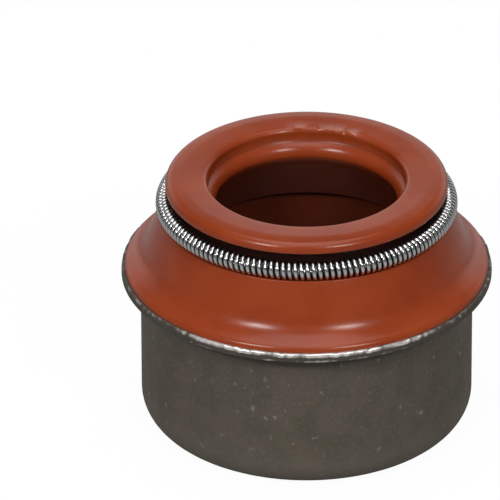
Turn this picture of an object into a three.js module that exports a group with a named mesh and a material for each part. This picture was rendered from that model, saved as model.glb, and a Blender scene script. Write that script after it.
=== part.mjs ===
// Valve stem seal: a drawn steel case, a rubber body moulded into and onto it,
// and a garter spring that presses the sealing lip against the valve stem.
// Millimetres, +Z up. The origin is on the axis, at the underside of the case.
import * as THREE from 'three';

// Steel case: one cup drawn from sheet, flanged outward at its mouth and pierced at its base.
const sheetThickness = 0.4;
const caseOuterRadius = 7.22;
const caseHeight = 7.28;
const flangeRadius = 8.05;
const flangeBendRadius = 0.3;
const flangeEdgeRounding = 0.05;
const baseBendRadius = 1.3;
const guideHoleRadius = 5.6;

// Rubber body, outside: foot flared out over the flange, cone, spring groove and top disc. The
// shoulder, where the cone ends, is placed from the centre of the spring's coil.
const flangeLedge = 0.15;
const footEdgeHeight = 0.18;
const footEdgeRounding = 0.15;
const flareRadius = 7.22;
const flareHeight = 0.6;
const flareFillet = 0.8;
const shoulderReach = 0.33;
const shoulderDrop = 0.565;
const shoulderRounding = 0.06;
const grooveLowerEnd = -80;
const discRadius = 6.12;
const discThickness = 0.49;
const discTopRounding = 0.17;
const discLowerRounding = 0.06;
const neckFilletRadius = 0.12;

// Rubber body, inside: hole, sealing lip, throat, stop and lining for the valve guide.
const bodyHeightAboveCase = 4.31;
const holeRadius = 4.3;
const holeRimRounding = 0.12;
const holeDepth = 0.4;
const lipRadius = 3.93;
const lipDrop = 1.23;
const lipUndercutRadius = 4.38;
const lipUndercutHeight = 0.62;
const lipUndercutRounding = 0.3;
const throatFootRadius = 5.05;
const stopHeightAboveCase = 0.68;
const stopCornerRounding = 0.12;
const liningBoreRadius = 5.5;
const leadInHeight = 0.35;
const gripRibCount = 3;
const gripRibHeight = 0.12;
const gripRibWidth = 0.6;
const gripRibPitch = 1.7;
const gripRibStart = 1.5;

// Garter spring: wire wound into a coil whose two ends are joined, so that it forms a ring.
const springRingRadius = 6.12;
const springHeightAboveCase = 2.935;
const springCoilRadius = 0.425;
const springWireRadius = 0.11;
const springTurns = 153;
const springSeatClearance = 0.035;

// How finely round forms are divided. A rounding's facets stay this close to its true arc.
const segmentsAround = 48;
const roundingTolerance = 0.024;
const largestShareOfSide = 0.96;
const grooveArcSteps = 4;
const lipArcSteps = 4;
const stepsPerTurn = 6;
const wireSides = 4;

const caseFinish = new THREE.MeshStandardMaterial({ color: 0x56514a, roughness: 0.6, metalness: 0.7 });
const rubberFinish = new THREE.MeshStandardMaterial({ color: 0x964a36, roughness: 0.45, metalness: 0 });
const springFinish = new THREE.MeshStandardMaterial({ color: 0xc4c4c2, roughness: 0.25, metalness: 1 });

// Every profile point is (distance from the axis, height).
function point(radius, height) {
  return new THREE.Vector2(radius, height);
}

// A corner of an outline, rounded by an arc where its rounding isn't zero.
function corner(radius, height, rounding = 0) {
  return { at: point(radius, height), rounding };
}

// Points along an arc about a centre, both ends included, angles in degrees.
function arc(centre, radius, startDegrees, endDegrees, steps) {
  const points = [];
  for (let i = 0; i <= steps; i += 1) {
    const angle = THREE.MathUtils.degToRad(startDegrees + ((endDegrees - startDegrees) * i) / steps);
    points.push(point(centre.x + radius * Math.cos(angle), centre.y + radius * Math.sin(angle)));
  }
  return points;
}

// How far along its two sides the rounding of one corner wants to reach.
function wantedReach(corners, i) {
  const { at, rounding } = corners[i];
  const before = corners[(i + corners.length - 1) % corners.length].at;
  const after = corners[(i + 1) % corners.length].at;
  const halfAngle = before.clone().sub(at).angleTo(after.clone().sub(at)) / 2;
  return rounding / Math.tan(halfAngle);
}

// How far the rounding may reach along one side: its share, when both ends want to be rounded.
function allowedReach(corners, i, neighbour, wanted) {
  const side = corners[i].at.distanceTo(corners[neighbour].at);
  return (largestShareOfSide * side * wanted) / (wanted + wantedReach(corners, neighbour));
}

// The arc that rounds one corner, tangent to the sides that meet there.
function roundedCorner(corners, i) {
  const previous = (i + corners.length - 1) % corners.length;
  const next = (i + 1) % corners.length;
  const { at } = corners[i];
  const sideIn = corners[previous].at.clone().sub(at);
  const sideOut = corners[next].at.clone().sub(at);
  const halfAngle = sideIn.angleTo(sideOut) / 2;
  const wanted = wantedReach(corners, i);
  const allowed = Math.min(allowedReach(corners, i, previous, wanted), allowedReach(corners, i, next, wanted));
  const tangentLength = Math.min(wanted, allowed);
  const radius = tangentLength * Math.tan(halfAngle);
  sideIn.normalize();
  sideOut.normalize();
  const centre = sideIn.clone().add(sideOut).normalize().multiplyScalar(radius / Math.sin(halfAngle)).add(at);
  const start = at.clone().addScaledVector(sideIn, tangentLength).sub(centre);
  const turn = Math.PI - 2 * halfAngle;
  const largestStep = 2 * Math.acos(Math.max(0, 1 - roundingTolerance / radius));
  const steps = Math.ceil(turn / largestStep);
  const direction = Math.sign(start.cross(at.clone().sub(centre)));
  const points = [];
  for (let i = 0; i <= steps; i += 1) {
    points.push(start.clone().rotateAround(new THREE.Vector2(), (direction * turn * i) / steps).add(centre));
  }
  return points;
}

// The closed outline through a list of corners, with each rounding put in.
function outline(corners) {
  const points = [];
  corners.forEach(({ at, rounding }, i) => {
    if (rounding > 0) {
      points.push(...roundedCorner(corners, i));
    } else {
      points.push(at);
    }
  });
  points.push(points[0].clone());
  return points;
}

// A solid of revolution about the vertical axis. Its outline runs anticlockwise when the
// axis is on the left.
function revolved(corners) {
  const geometry = new THREE.LatheGeometry(outline(corners), segmentsAround);
  geometry.rotateX(Math.PI / 2);
  return geometry;
}

// Inner face of the case. The rubber is bonded to it, so both outlines use these corners.
const caseInnerRadius = caseOuterRadius - sheetThickness;
const mouthCorner = corner(caseInnerRadius, caseHeight, flangeBendRadius + sheetThickness);
const floorCorner = corner(caseInnerRadius, sheetThickness, baseBendRadius - sheetThickness);
const holeEdge = corner(guideHoleRadius, sheetThickness);

function steelCase() {
  const flangeUnderside = caseHeight - sheetThickness;
  return revolved([
    corner(guideHoleRadius, 0),
    corner(caseOuterRadius, 0, baseBendRadius),
    corner(caseOuterRadius, flangeUnderside, flangeBendRadius),
    corner(flangeRadius, flangeUnderside, flangeEdgeRounding),
    corner(flangeRadius, caseHeight, flangeEdgeRounding),
    mouthCorner,
    floorCorner,
    holeEdge,
  ]);
}

// The groove that holds the spring: a part circle about the coil's own centre line, which
// ends at the foot of the neck.
const springCentre = point(springRingRadius, caseHeight + springHeightAboveCase);
const grooveRadius = springCoilRadius + springSeatClearance;
const neckRadius = springRingRadius - grooveRadius;
const neckSide = -180;

// Low ribs round the lining that grip the valve guide, listed from the top one down.
function gripRibs() {
  const corners = [];
  for (let i = gripRibCount - 1; i >= 0; i -= 1) {
    const foot = sheetThickness + gripRibStart + i * gripRibPitch;
    corners.push(corner(liningBoreRadius, foot + gripRibWidth));
    corners.push(corner(liningBoreRadius - gripRibHeight, foot + gripRibWidth / 2));
    corners.push(corner(liningBoreRadius, foot));
  }
  return corners;
}

// The rounded bead above the sealing lip: an arc that leaves the foot of the hole and is
// upright where it reaches the lip.
function lipBead(holeFoot, lip) {
  const across = holeFoot.x - lip.x;
  const up = holeFoot.y - lip.y;
  const radius = (across * across + up * up) / (2 * across);
  const centre = point(lip.x + radius, lip.y);
  const startDegrees = THREE.MathUtils.radToDeg(Math.atan2(up, across - radius));
  return arc(centre, radius, startDegrees, 180, lipArcSteps);
}

function rubberBody() {
  const footRadius = flangeRadius - flangeLedge;
  const top = caseHeight + bodyHeightAboveCase;
  const discUnderside = top - discThickness;
  const holeFoot = point(holeRadius, top - holeDepth);
  const lip = point(lipRadius, top - lipDrop);
  const stopHeight = caseHeight + stopHeightAboveCase;
  const shoulder = point(springCentre.x + shoulderReach, springCentre.y - shoulderDrop);
  const groove = arc(springCentre, grooveRadius, grooveLowerEnd, neckSide, grooveArcSteps);
  const plain = (at) => corner(at.x, at.y);
  return revolved([
    holeEdge,
    floorCorner,
    mouthCorner,
    corner(footRadius, caseHeight),
    corner(footRadius, caseHeight + footEdgeHeight, footEdgeRounding),
    corner(flareRadius, caseHeight + flareHeight, flareFillet),
    corner(shoulder.x, shoulder.y, shoulderRounding),
    ...groove.map(plain),
    corner(neckRadius, discUnderside, neckFilletRadius),
    corner(discRadius, discUnderside, discLowerRounding),
    corner(discRadius, top, discTopRounding),
    corner(holeRadius, top, holeRimRounding),
    ...lipBead(holeFoot, lip).map(plain),
    corner(lipUndercutRadius, lip.y - lipUndercutHeight, lipUndercutRounding),
    corner(throatFootRadius, stopHeight),
    corner(liningBoreRadius, stopHeight, stopCornerRounding),
    ...gripRibs(),
    corner(liningBoreRadius, sheetThickness + leadInHeight),
  ]);
}

// The wire's centre line winds round the ring while it goes round it, a whole number of
// turns. Each cross-section is set square to the wire, and the last joins the first.
function garterSpring() {
  const windingRadius = springCoilRadius - springWireRadius;
  const sections = springTurns * stepsPerTurn;
  const positions = [];
  for (let i = 0; i < sections; i += 1) {
    const ringAngle = (2 * Math.PI * i) / sections;
    const coilAngle = -springTurns * ringAngle;
    const outward = new THREE.Vector3(Math.cos(ringAngle), Math.sin(ringAngle), 0);
    const along = new THREE.Vector3(-Math.sin(ringAngle), Math.cos(ringAngle), 0);
    const up = new THREE.Vector3(0, 0, 1);
    const radial = outward.clone().multiplyScalar(Math.cos(coilAngle)).addScaledVector(up, Math.sin(coilAngle));
    const turning = up.clone().multiplyScalar(Math.cos(coilAngle)).addScaledVector(outward, -Math.sin(coilAngle));
    const ringSpeed = springRingRadius + windingRadius * Math.cos(coilAngle);
    const tangent = along.multiplyScalar(ringSpeed).addScaledVector(turning, -springTurns * windingRadius).normalize();
    const side = tangent.clone().cross(radial);
    const centre = outward.clone().multiplyScalar(springCentre.x).addScaledVector(up, springCentre.y);
    centre.addScaledVector(radial, windingRadius);
    for (let k = 0; k < wireSides; k += 1) {
      const angle = (2 * Math.PI * k) / wireSides;
      const vertex = centre.clone().addScaledVector(radial, springWireRadius * Math.cos(angle));
      vertex.addScaledVector(side, springWireRadius * Math.sin(angle));
      positions.push(vertex.x, vertex.y, vertex.z);
    }
  }
  const index = [];
  for (let i = 0; i < sections; i += 1) {
    const here = i * wireSides;
    const next = ((i + 1) % sections) * wireSides;
    for (let k = 0; k < wireSides; k += 1) {
      const k2 = (k + 1) % wireSides;
      index.push(here + k, here + k2, next + k2);
      index.push(here + k, next + k2, next + k);
    }
  }
  const geometry = new THREE.BufferGeometry();
  geometry.setAttribute('position', new THREE.Float32BufferAttribute(positions, 3));
  geometry.setIndex(index);
  geometry.computeVertexNormals();
  return geometry;
}

function named(name, geometry, material) {
  const mesh = new THREE.Mesh(geometry, material);
  mesh.name = name;
  return mesh;
}

const seal = new THREE.Group();
seal.add(named('steel_case', steelCase(), caseFinish));
seal.add(named('rubber_body', rubberBody(), rubberFinish));
seal.add(named('garter_spring', garterSpring(), springFinish));

export default seal;
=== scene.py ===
import math

import bpy
import numpy as np
from mathutils import Euler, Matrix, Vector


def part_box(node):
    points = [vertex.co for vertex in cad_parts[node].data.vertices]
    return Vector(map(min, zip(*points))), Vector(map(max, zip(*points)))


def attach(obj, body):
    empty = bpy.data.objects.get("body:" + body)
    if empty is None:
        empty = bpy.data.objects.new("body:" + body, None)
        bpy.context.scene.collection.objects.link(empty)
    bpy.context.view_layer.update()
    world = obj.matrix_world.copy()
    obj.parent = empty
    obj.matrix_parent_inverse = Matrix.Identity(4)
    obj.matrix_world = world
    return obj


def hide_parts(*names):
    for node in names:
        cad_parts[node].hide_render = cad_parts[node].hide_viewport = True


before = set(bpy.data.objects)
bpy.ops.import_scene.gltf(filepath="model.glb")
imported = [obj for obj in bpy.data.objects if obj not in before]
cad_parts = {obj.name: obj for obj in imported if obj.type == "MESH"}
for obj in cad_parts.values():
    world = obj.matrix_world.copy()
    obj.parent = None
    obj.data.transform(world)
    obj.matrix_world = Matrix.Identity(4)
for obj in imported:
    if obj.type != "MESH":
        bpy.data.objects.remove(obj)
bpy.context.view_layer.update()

# The camera stands about 0.4 m in front of the seal and looks down on it, as a product
# photographer's long lens does. The flange's centre is aimed at its place in the photograph.
mm = 0.001
flange_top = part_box("steel_case")[1].z / mm
flange_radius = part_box("steel_case")[1].x / mm
seal_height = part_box("rubber_body")[1].z / mm
image_size = 500
flange_centre_pixel = (306.6, 262.5)
camera_distance = 380
camera_elevation = math.radians(29.4)
sensor_width = 36
focal_pixels = 8743
camera_data = bpy.data.cameras.new("camera")
camera_data.sensor_width = sensor_width
camera_data.lens = focal_pixels * sensor_width / image_size
camera_data.clip_start = 10 * mm
camera_data.clip_end = 10
camera = bpy.data.objects.new("camera", camera_data)
bpy.context.collection.objects.link(camera)
turn_left = math.atan((flange_centre_pixel[0] - image_size / 2) / focal_pixels)
turn_up = math.atan((flange_centre_pixel[1] - image_size / 2) / focal_pixels)
camera.location = (0, -camera_distance * math.cos(camera_elevation) * mm,
                   (flange_top + camera_distance * math.sin(camera_elevation)) * mm)
looking_down = Euler((math.pi / 2 - camera_elevation, 0, 0)).to_matrix()
camera.rotation_euler = (looking_down @ Euler((turn_up, turn_left, 0)).to_matrix()).to_euler()
bpy.context.scene.camera = camera


class Socket:
    """A shader value. Arithmetic on it adds the Math nodes."""

    def __init__(self, finish, link):
        self.finish = finish
        self.link = link

    def math(self, operation, first, second=0.0):
        return self.finish.node("ShaderNodeMath", {"operation": operation}, {0: first, 1: second})

    def __add__(self, other):
        return self.math("ADD", self, other)

    def __sub__(self, other):
        return self.math("SUBTRACT", self, other)

    def __rsub__(self, other):
        return self.math("SUBTRACT", other, self)

    def __mul__(self, other):
        return self.math("MULTIPLY", self, other)

    __radd__ = __add__
    __rmul__ = __mul__

    def between(self, low, high):
        """0 up to low, 1 from high on, and a smooth step between them."""
        return self.finish.node("ShaderNodeMapRange", {"interpolation_type": "SMOOTHSTEP"},
                                {"Value": self, "From Min": low, "From Max": high})


class Finish:
    """A node tree. node() adds any node: its type, its settings and its inputs."""

    def __init__(self, owner):
        owner.use_nodes = True
        self.owner = owner
        self.tree = owner.node_tree
        self.tree.nodes.clear()

    def node(self, kind, settings=None, inputs=None, output=0):
        made = self.tree.nodes.new(kind)
        for key, value in (settings or {}).items():
            setattr(made, key, value)
        for key, value in (inputs or {}).items():
            if isinstance(value, Socket):
                self.tree.links.new(value.link, made.inputs[key])
            else:
                made.inputs[key].default_value = value
        return Socket(self, made.outputs[output]) if output is not None else None

    def place(self):
        return self.node("ShaderNodeTexCoord", output="Object")

    def noise(self, place, size, detail=2.0):
        """Noise from 0 to 1 whose features are about this many millimetres across."""
        return self.node("ShaderNodeTexNoise", None,
                         {"Vector": place, "Scale": 1 / (size * mm), "Detail": detail})

    def mix(self, factor, first, second):
        """A colour between two colours."""
        return self.node("ShaderNodeMix", {"data_type": "RGBA"}, {0: factor, 6: first, 7: second}, output=2)

    def bump(self, height, depth):
        """A normal from a height of 0 to 1 that stands for this depth in millimetres."""
        return self.node("ShaderNodeBump", None, {"Height": height, "Distance": depth * mm})

    def surface(self, **inputs):
        """The material itself. Each name is an input of Principled BSDF, _ standing for a space."""
        named = {key.replace("_", " "): value for key, value in inputs.items()}
        shader = self.node("ShaderNodeBsdfPrincipled", None, named)
        self.node("ShaderNodeOutputMaterial", None, {"Surface": shader}, output=None)
        return self.owner


def screen(red, green, blue):
    """The linear colour for the 0 to 255 values that a screen shows."""
    channels = np.array([red, green, blue]) / 255
    linear = np.where(channels <= 0.04045, channels / 12.92, ((channels + 0.055) / 1.055) ** 2.4)
    return (*linear.tolist(), 1.0)


# The steel case is one cup drawn from sheet, with a flange at its mouth and a pierced base.
# It is phosphated to a matt olive grey, and its sheared flange edge is worn bright and nicked, with a
# painted highlight on it as well.
sheet = 0.4
case_radius = 7.22
flange_bend = 0.3
flange_edge = 0.06
base_bend = 1.3
guide_hole = 5.6
guide_hole_rounding = 0.04
case_inside = case_radius - sheet
mouth_corner = (case_inside, flange_top, flange_bend + sheet)
floor_corner = (case_inside, sheet, base_bend - sheet)
segments_of_case = 640


def rounded_outline(corners, arc_step=math.radians(8), side_step=0.4):
    """A closed outline through corners (radius, height, rounding). A rounding R at a corner of
    half angle h reaches R / tan h along both sides, or its share of a side that is too short.
    The arc's centre is at corner + R / sin h along the bisector. Straight sides are divided
    evenly."""
    corners = np.array([(*c, 0.0)[:3] for c in corners])
    at, rounding = corners[:, :2], corners[:, 2]
    out = np.roll(at, -1, 0) - at
    length = np.linalg.norm(out, axis=1)
    out = out / length[:, None]
    back = -np.roll(out, 1, 0)
    half_angle = np.arccos(np.clip((out * back).sum(1), -1, 1)) / 2
    reach = rounding / np.tan(half_angle)
    share = 0.96 * length / np.maximum(reach + np.roll(reach, -1), 1e-9)
    reach = reach * np.minimum(1, np.minimum(share, np.roll(share, 1)))
    pieces = []
    for here, side_in, side_out, half, tangent in zip(at, back, out, half_angle, reach):
        if not tangent:
            pieces.append(here[None])
            continue
        radius = tangent * math.tan(half)
        middle = side_in + side_out
        centre = here + middle / np.linalg.norm(middle) * radius / math.sin(half)
        start, end = here + side_in * tangent - centre, here + side_out * tangent - centre
        turn = math.atan2(start[0] * end[1] - start[1] * end[0], start @ end)
        angle = np.linspace(0, turn, 2 + int(abs(turn) / arc_step))[:, None]
        crossed = np.array([-start[1], start[0]])
        pieces.append(centre + start * np.cos(angle) + crossed * np.sin(angle))
    outline = np.concatenate(pieces)
    following = np.roll(outline, -1, 0)
    counts = np.maximum(1, np.ceil(np.linalg.norm(following - outline, axis=1) / side_step)).astype(int)
    first = np.repeat(np.cumsum(counts) - counts, counts)
    share = (np.arange(counts.sum()) - first) / np.repeat(counts, counts)
    return np.repeat(outline, counts, 0) + share[:, None] * np.repeat(following - outline, counts, 0)


def ring_values(angle, count, seed):
    """A smooth periodic wander from -1 to 1 round the axis: random values at equal angles,
    joined by a cosine blend."""
    values = np.random.default_rng(seed).uniform(-1, 1, count)
    place = (angle / (2 * np.pi) % 1) * count
    cell = np.floor(place).astype(int)
    blend = 0.5 - 0.5 * np.cos(np.pi * (place - cell))
    return values[cell % count] * (1 - blend) + values[(cell + 1) % count] * blend


def closed_grid(name, points, finish, flip=False):
    """A mesh from points[j, i], both directions closed on themselves: one quad for each cell.
    The points are in millimetres and the mesh in metres."""
    rows, columns = points.shape[:2]
    j, i = np.meshgrid(np.arange(rows), np.arange(columns), indexing="ij")
    j2, i2 = (j + 1) % rows, (i + 1) % columns
    quads = np.stack([j * columns + i, j * columns + i2, j2 * columns + i2, j2 * columns + i], -1)
    quads = quads.reshape(-1, 4)
    mesh = bpy.data.meshes.new(name)
    if flip:
        quads = quads[:, ::-1]
    mesh.from_pydata((points.reshape(-1, 3) * mm).tolist(), [], quads.tolist())
    mesh.shade_smooth()
    mesh.materials.append(finish)
    piece = bpy.data.objects.new(name, mesh)
    bpy.context.collection.objects.link(piece)
    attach(piece, "root")
    return piece


def turned(outline, segments):
    """Radius, height and angle of each point of an outline turned about the axis."""
    angle = np.linspace(0, 2 * np.pi, segments, endpoint=False)
    radius = np.repeat(outline[:, :1], segments, 1)
    height = np.repeat(outline[:, 1:], segments, 1)
    return radius, height, np.broadcast_to(angle, radius.shape)


def around_axis(radius, height, angle):
    """Points (r cos a, r sin a, h)."""
    return np.stack([radius * np.cos(angle), radius * np.sin(angle), height], -1)


def steel_finish():
    finish = Finish(bpy.data.materials.new("phosphated steel"))
    place = finish.place()
    patches = finish.noise(place, 1.1, 4.0).between(0.36, 0.64)
    grain = finish.noise(place, 0.16, 3.0)
    dust = finish.noise(place, 0.42, 2.0)
    colour = finish.mix(patches, screen(87, 82, 69), screen(96, 87, 76))
    colour = finish.mix(grain.between(0.48, 0.75) * 0.4, colour, screen(116, 109, 99))
    speck = dust.between(0.66, 0.76)
    colour = finish.mix(speck * 0.6, colour, screen(150, 144, 132))
    rise = finish.node("ShaderNodeSeparateXYZ", None, {0: place}, output="Z")
    # Painted light: the case is lighter towards its base.
    colour = finish.mix((1 - rise.between(0.3 * mm, 2.6 * mm)) * 0.5, colour, screen(118, 110, 98))
    # Painted shadow: the case is darker just under the flange.
    colour = finish.mix(rise.between(5.6 * mm, 6.7 * mm) * 0.5, colour, screen(46, 40, 37))
    # The bright edge colour is partly wear and partly painted highlight.
    wear_and_highlight = finish.node("ShaderNodeAttribute", {"attribute_name": "wear_and_highlight"}, output="Fac")
    scuff_and_highlight = (wear_and_highlight + (grain - 0.5) * 0.5).between(0.2, 0.85)
    colour = finish.mix(scuff_and_highlight, colour, screen(248, 244, 240))
    return finish.surface(
        Base_Color=colour, Metallic=0.25 + scuff_and_highlight * 0.6, Roughness=0.62 - scuff_and_highlight * 0.3,
        Normal=finish.bump(grain + speck * 0.6, 0.006))


# The flange's edge has four points between its corners, where its wear and painted highlight start and end.
edge_marks = [(flange_radius, flange_top - down) for down in (0.31, 0.25, 0.2, 0.14)]
outline = rounded_outline([
    (guide_hole, 0, guide_hole_rounding), (case_radius, 0, base_bend),
    (case_radius, flange_top - sheet, flange_bend), (flange_radius, flange_top - sheet, flange_edge),
    *edge_marks, (flange_radius, flange_top, flange_edge),
    mouth_corner, floor_corner, (guide_hole, sheet, guide_hole_rounding)])
radius, height, angle = turned(outline, segments_of_case)

# Shearing leaves the flange's edge slightly uneven, and handling nicks its upper corner.
nick_reach = 0.2
nick_fade = 0.1
nick_depth = 0.05
shear_depth = 0.02
nicked = np.clip((radius - flange_radius + nick_reach) / nick_fade, 0, 1)
nicked = nicked * np.clip((height - flange_top + nick_reach) / nick_fade, 0, 1)
nick = 0.5 + 0.5 * ring_values(angle, 250, 5)
shear = ring_values(angle, 60, 8)
radius = radius - nicked * (shear_depth + shear_depth * shear) * (height > flange_top - 0.3)
height = height - nicked * nick_depth * nick ** 2
points = around_axis(radius, height, angle)
steel_case = closed_grid("drawn_steel_case", points, steel_finish())
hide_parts("steel_case")

# The nicked corner is rubbed bright, and so is the edge's lower corner. Both also carry a painted
# highlight, which is least on the two sides, as the light's reflection is.
highlit_front_and_back = np.clip(1.9 - 2.2 * np.abs(np.cos(angle)), 0.3, 1)
wear_and_highlight = nicked * (0.42 + 0.9 * nick) * highlit_front_and_back
lower_edge = (np.abs(height - flange_top + 0.34) < 0.07) * (radius > flange_radius - 0.08)
wear_and_highlight = wear_and_highlight + lower_edge * 0.42 * highlit_front_and_back * (0.7 + 0.5 * ring_values(angle, 110, 3))


def add_values(piece, name, values):
    """One number for each vertex, which the piece's material reads by this name."""
    stored = piece.data.attributes.new(name, "FLOAT", "POINT")
    stored.data.foreach_set("value", np.ascontiguousarray(values, dtype=np.float32).ravel())


add_values(steel_case, "wear_and_highlight", wear_and_highlight)

# The rubber body is one moulding, bonded over the flange and down the inside of the case. Its
# neck carries a top disc, the groove for the spring and, inside, the lip that wipes the stem.
foot_radius = flange_radius - 0.15
foot_edge = (foot_radius, flange_top + 0.2, 0.3)
flare = (7.2, flange_top + 0.54, 1.4)
disc_radius = 6.12
disc_thickness = 0.49
disc_underside = seal_height - disc_thickness
disc_dish = 0.05
disc_crown = 5.4
disc_slope = 0.04
disc_rounding = 0.36
hole_radius = 4.3
hole_depth = 0.65
hole_rim_rounding = 0.22
lip_radius = 3.93
lip_height = seal_height - 1.23
lip_undercut = (4.38, lip_height - 0.62, 0.3)
stop_height = flange_top + 0.68
throat_foot = (5.05, stop_height, 0.05)
lining_bore = 5.5
lead_in = 0.35
rib_feet = (5.3, 3.6, 1.9)
rib_width = 0.6
rib_height = 0.12
spring_ring = 6.12
spring_height = flange_top + 3.06
spring_coil = 0.425
groove_radius = spring_coil + 0.035
neck_radius = spring_ring - groove_radius
shoulder = (spring_ring + 0.26, spring_height - 0.44)
segments_of_rubber = 400


def arc_corners(centre, radius, start, end, steps):
    """Corners along an arc, c + R (cos t, sin t), t from start to end in degrees."""
    t = np.radians(np.linspace(start, end, steps + 1))
    return [(centre[0] + radius * math.cos(a), centre[1] + radius * math.sin(a), 0) for a in t]


def lip_bead():
    """The arc from the foot of the hole to the lip, upright where it reaches the lip."""
    across, up = hole_radius - lip_radius, seal_height - hole_depth - lip_height
    bead = (across ** 2 + up ** 2) / (2 * across)
    start = math.degrees(math.atan2(up, across - bead))
    return arc_corners((lip_radius + bead, lip_height), bead, start, 180, 12)


def grip_ribs():
    """Three low ribs round the lining, from the top one down."""
    corners = []
    for foot in rib_feet:
        corners += [(lining_bore, foot + rib_width, 0.15),
                    (lining_bore - rib_height, foot + rib_width / 2, 0.25), (lining_bore, foot, 0.15)]
    return corners


def rubber_finish():
    finish = Finish(bpy.data.materials.new("brown fluororubber"))
    place = finish.place()
    clouds = finish.noise(place, 2.4, 3.0).between(0.35, 0.65)
    grain = finish.noise(place, 0.14, 3.0)
    colour = finish.mix(clouds, screen(141, 54, 20), screen(150, 61, 27))
    colour = finish.mix(grain.between(0.52, 0.8) * 0.08, colour, screen(170, 96, 66))
    # Painted shade: dark brown in the groove, the throat and the crease.
    painted_shade = finish.node("ShaderNodeAttribute", {"attribute_name": "painted_shade"}, output="Fac")
    colour = finish.mix(painted_shade, colour, screen(40, 12, 6))
    torn = finish.node("ShaderNodeAttribute", {"attribute_name": "torn"}, output="Fac")
    colour = finish.mix(torn.between(0.1, 0.8) * 0.5, colour, screen(186, 116, 92))
    waves = finish.noise(place, 1.1, 1.0)
    return finish.surface(
        Base_Color=colour, Roughness=0.25 + (grain - 0.5) * 0.05 + painted_shade * 0.2, IOR=1.4,
        Normal=finish.bump(grain * 0.08 + waves, 0.008))


groove = arc_corners((spring_ring, spring_height), groove_radius, -62, -180, 18)
outline = rounded_outline([
    (guide_hole, sheet), floor_corner, mouth_corner, (foot_radius, flange_top), foot_edge, flare,
    (*shoulder, 0.04), *groove, (neck_radius, disc_underside, 0.12), (disc_radius, disc_underside, 0.06),
    (disc_radius, seal_height - disc_slope, disc_rounding), (disc_crown, seal_height, 0.6),
    (hole_radius, seal_height - disc_dish, hole_rim_rounding), *lip_bead(), lip_undercut, throat_foot,
    (lining_bore, stop_height, 0.12), *grip_ribs(), (lining_bore, sheet + lead_in, 0.1)])
radius, height, angle = turned(outline, segments_of_rubber)

# Torn moulding flash stands along the back of the hole's rim, a ragged ridge that fades at
# both ends.
torn_middle, torn_half = math.radians(81), math.radians(24)
torn_ring = 4.43
torn_width = 0.09
torn_rise = 0.09
torn_lean = 0.05
torn = np.clip(1.6 * (1 - ((angle - torn_middle) / torn_half) ** 2), 0, 1)
torn = torn * np.clip(0.5 + 0.45 * ring_values(angle, 70, 21) + 0.3 * ring_values(angle, 180, 4), 0, 1)
torn_at = torn_ring + 0.05 * ring_values(angle, 90, 9)
torn = torn * np.exp(-((radius - torn_at) / torn_width) ** 2) * (height > seal_height - 0.2)
height = np.minimum(height + torn_rise * torn, seal_height)
radius = radius - torn_lean * torn
points = around_axis(radius, height, angle)
rubber_body = closed_grid("moulded_rubber_body", points, rubber_finish())
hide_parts("rubber_body")

# Painted shade darkens the groove behind the spring, the inside below the lip and the crease at the foot of
# the hole.
in_groove = np.clip((spring_ring - radius) / 0.3, 0, 1) * (radius > neck_radius - 0.05)
in_groove = in_groove * (height > shoulder[1] + 0.02) * (height < disc_underside + 0.02)
in_throat = np.clip((lip_height - 0.1 - height) / 0.6, 0, 1) * (radius < lining_bore + 0.2)
above_foot = height - seal_height + hole_depth
in_crease = np.exp(-((above_foot - 0.12) / 0.12) ** 2) * (radius > 4.08) * (radius < 4.35)
add_values(rubber_body, "painted_shade", np.clip(in_groove + 0.75 * in_throat + 0.6 * in_crease, 0, 1))
add_values(rubber_body, "torn", torn)

# The garter spring is one length of bright wire wound into a coil whose ends are joined. It
# lies in the groove round the neck and keeps the lip pressed on the stem.
spring_turns = 153
wire_radius = 0.1
steps_per_turn = 22
wire_sides = 12


def coil_ring():
    """A wire wound on a ring: centre line c(t) = ring circle + winding circle at -turns * t, and
    round it a small circle square to the centre line's tangent."""
    winding = spring_coil - wire_radius
    t = np.linspace(0, 2 * np.pi, spring_turns * steps_per_turn, endpoint=False)[:, None]
    turn = -spring_turns * t
    outward = np.hstack([np.cos(t), np.sin(t), 0 * t])
    along = np.hstack([-np.sin(t), np.cos(t), 0 * t])
    up = np.array([[0.0, 0.0, 1.0]])
    radial = outward * np.cos(turn) + up * np.sin(turn)
    turning = up * np.cos(turn) - outward * np.sin(turn)
    tangent = along * (spring_ring + winding * np.cos(turn)) - turning * spring_turns * winding
    tangent /= np.linalg.norm(tangent, axis=1, keepdims=True)
    side = np.cross(tangent, radial)
    centre = outward * spring_ring + up * spring_height + radial * winding
    s = np.linspace(0, 2 * np.pi, wire_sides, endpoint=False)[None, :, None]
    return centre[:, None] + wire_radius * (radial[:, None] * np.cos(s) + side[:, None] * np.sin(s))


def wire_finish():
    finish = Finish(bpy.data.materials.new("bright spring wire"))
    place = finish.place()
    drawn = finish.noise(place, 0.3, 2.0)
    colour = finish.mix(drawn, screen(206, 207, 208), screen(230, 230, 228))
    # Painted shade on the wire's flanks, between the turns.
    shade_between_turns = finish.node("ShaderNodeAttribute", {"attribute_name": "shade_between_turns"}, output="Fac")
    colour = finish.mix(shade_between_turns.between(0.4, 1.0) * 0.65, colour, screen(42, 39, 37))
    return finish.surface(Base_Color=colour, Metallic=1.0, Roughness=0.17 + drawn * 0.08)


garter_spring = closed_grid("wound_garter_spring", coil_ring(), wire_finish(), flip=True)
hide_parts("garter_spring")
# Painted shade darkens the sides of the wire, where neighbouring turns face each other.
flank = np.abs(np.sin(np.linspace(0, 2 * np.pi, wire_sides, endpoint=False)))
add_values(garter_spring, "shade_between_turns", np.tile(flank, spring_turns * steps_per_turn))

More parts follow.
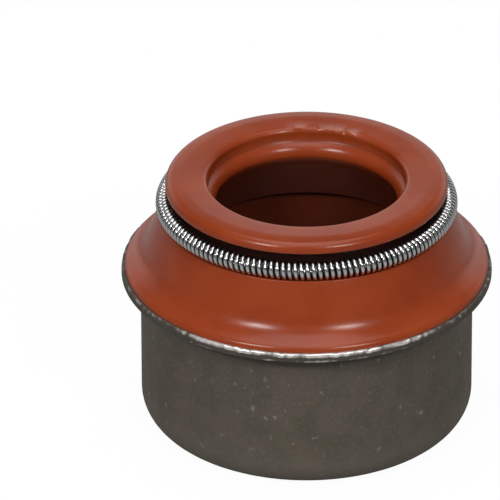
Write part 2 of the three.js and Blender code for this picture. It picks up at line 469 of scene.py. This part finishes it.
# The floor is a plain sheet of paper. It shows white to the camera and is a mid grey to all
# other light, and it keeps a faint shadow under the seal.
floor_size = 3.0
floor_mesh = bpy.data.meshes.new("floor")
floor_corners = [(-1, -1, 0), (1, -1, 0), (1, 1, 0), (-1, 1, 0)]
floor_mesh.from_pydata((np.array(floor_corners) * floor_size / 2).tolist(), [], [(0, 1, 2, 3)])
floor = bpy.data.objects.new("floor", floor_mesh)
bpy.context.collection.objects.link(floor)
paper = Finish(bpy.data.materials.new("white paper"))
ray = paper.node("ShaderNodeLightPath", output="Is Camera Ray")
matt = paper.node("ShaderNodeBsdfDiffuse", None, {"Color": (0.4, 0.4, 0.4, 1)})
white = paper.node("ShaderNodeEmission", None, {"Color": (1, 1, 1, 1), "Strength": 1.07})
shown = paper.node("ShaderNodeMixShader", None, {0: ray * 0.9, 1: matt, 2: white})
paper.node("ShaderNodeOutputMaterial", None, {"Surface": shown}, output=None)
floor_mesh.materials.append(paper.owner)

# Studio light: a small softbox to the left and one to the right of the camera, a wide one
# overhead, and a dim room. Its horizon is pale behind the seal, where the disc's top mirrors it.
dim_room = 0.12
pale_horizon = 0.88
room_light = 0.19
world = bpy.data.worlds.new("studio")
bpy.context.scene.world = world
room = Finish(world)
direction = room.node("ShaderNodeTexCoord", output="Generated")
upward = room.node("ShaderNodeSeparateXYZ", None, {0: direction}, output="Z")
behind = room.node("ShaderNodeSeparateXYZ", None, {0: direction}, output="Y")
camera_ray = room.node("ShaderNodeLightPath", output="Is Camera Ray")
glossy_ray = room.node("ShaderNodeLightPath", output="Is Glossy Ray")
mirrored = dim_room + (1.0 - upward.between(0.43, 0.54)) * behind.between(0.3, 0.8) * pale_horizon
level = camera_ray + (1 - camera_ray) * (glossy_ray * mirrored + (1 - glossy_ray) * room_light)
background = room.node("ShaderNodeBackground", None, {"Color": (1, 1, 1, 1), "Strength": level})
room.node("ShaderNodeOutputWorld", None, {"Surface": background}, output=None)


def softbox(name, azimuth, elevation, distance, width, height, watts):
    """A rectangular lamp at (distance, azimuth from the camera, elevation), facing the seal."""
    lamp = bpy.data.lights.new(name, "AREA")
    lamp.shape = "RECTANGLE"
    lamp.size = width
    lamp.size_y = height
    lamp.energy = watts
    holder = bpy.data.objects.new(name, lamp)
    a, e = math.radians(azimuth), math.radians(elevation)
    holder.location = (distance * math.sin(a) * math.cos(e), -distance * math.cos(a) * math.cos(e),
                       distance * math.sin(e))
    holder.rotation_euler = (math.pi / 2 - e, 0, a)
    holder.visible_camera = False
    bpy.context.collection.objects.link(holder)


softbox("left softbox", -36, 38, 0.5, 0.11, 0.06, 0.86)
softbox("right softbox", 30, 38, 0.5, 0.11, 0.06, 0.72)
softbox("overhead softbox", 0, 88, 0.5, 0.32, 0.56, 1.25)
bpy.context.scene.view_settings.view_transform = "Standard"
